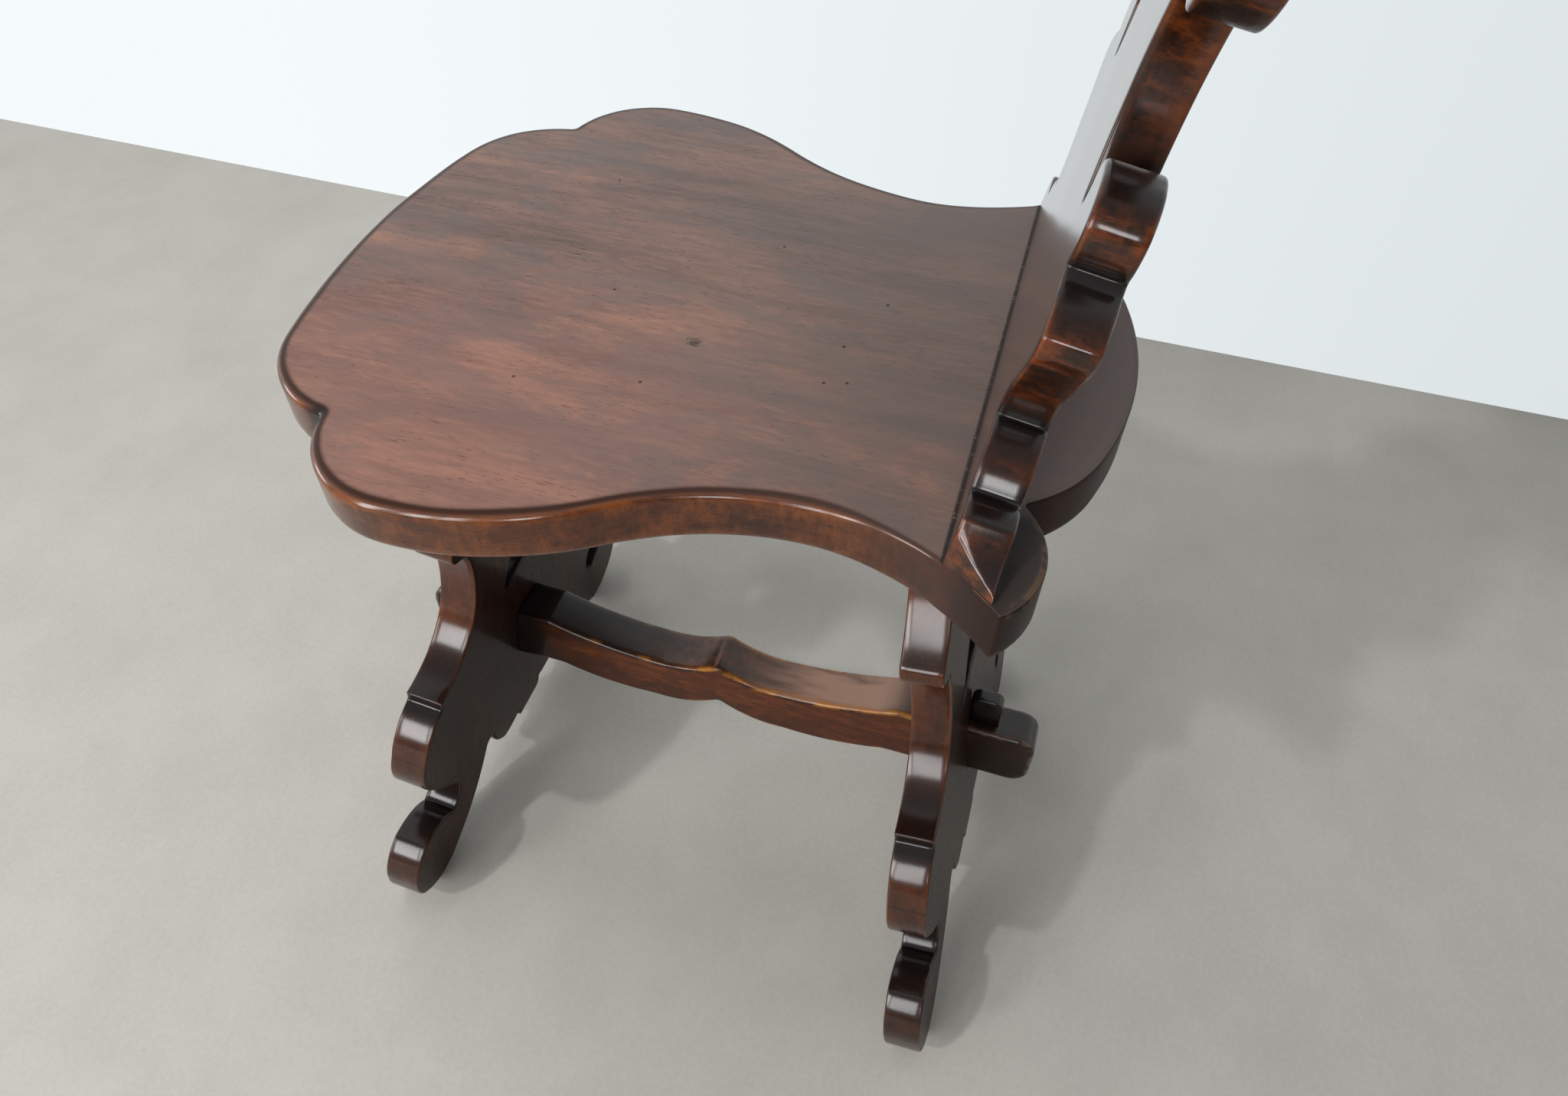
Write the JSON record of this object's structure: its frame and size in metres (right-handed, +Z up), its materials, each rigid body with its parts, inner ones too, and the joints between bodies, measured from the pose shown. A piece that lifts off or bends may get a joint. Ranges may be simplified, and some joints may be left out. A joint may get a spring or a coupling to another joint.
{
  "type": "sgabello chair",
  "caption": "Renaissance-style plank side chair: scroll-cut seat and raked back board, splayed pierced legs, and a wavy stretcher held by sliding wooden keys.",
  "frame": {"origin": "on the floor under the middle of the chair's box", "axes": "+Z up, -Y the way the sitter faces, X across the chair, which is symmetric about x = 0"},
  "size_m": [0.3512, 0.4498, 0.8782],
  "materials": {
    "seat_wood": "stained and lacquered walnut, worn satin gloss",
    "back_wood": "stained and lacquered walnut, amber where worn",
    "leg_wood": "stained and lacquered walnut, gloss",
    "stretcher_wood": "stained and lacquered walnut, worn top arrises",
    "key_wood": "dark stained, satin",
    "peg_wood": "bare, unfinished"
  },
  "bodies": {
    "chair": {"seat": "seat_wood", "back_board": "back_wood", "front_leg": "leg_wood", "rear_leg": "leg_wood", "stretcher": "stretcher_wood", "front_dowel_1": "peg_wood", "front_dowel_2": "peg_wood", "front_dowel_3": "peg_wood", "rear_dowel_1": "peg_wood", "rear_dowel_2": "peg_wood", "rear_dowel_3": "peg_wood", "left_tenon_wedge": "peg_wood", "right_tenon_wedge": "peg_wood"},
    "front_key": {"front_key": "key_wood"},
    "rear_key": {"rear_key": "key_wood"}
  },
  "joints": [
    {"name": "front_key_lift", "type": "slide", "parent": "chair", "child": "front_key", "axis": [0, 0, 1], "range_m": [0, 0.06]},
    {"name": "rear_key_lift", "type": "slide", "parent": "chair", "child": "rear_key", "axis": [0, 0, 1], "range_m": [0, 0.06]}
  ]
}
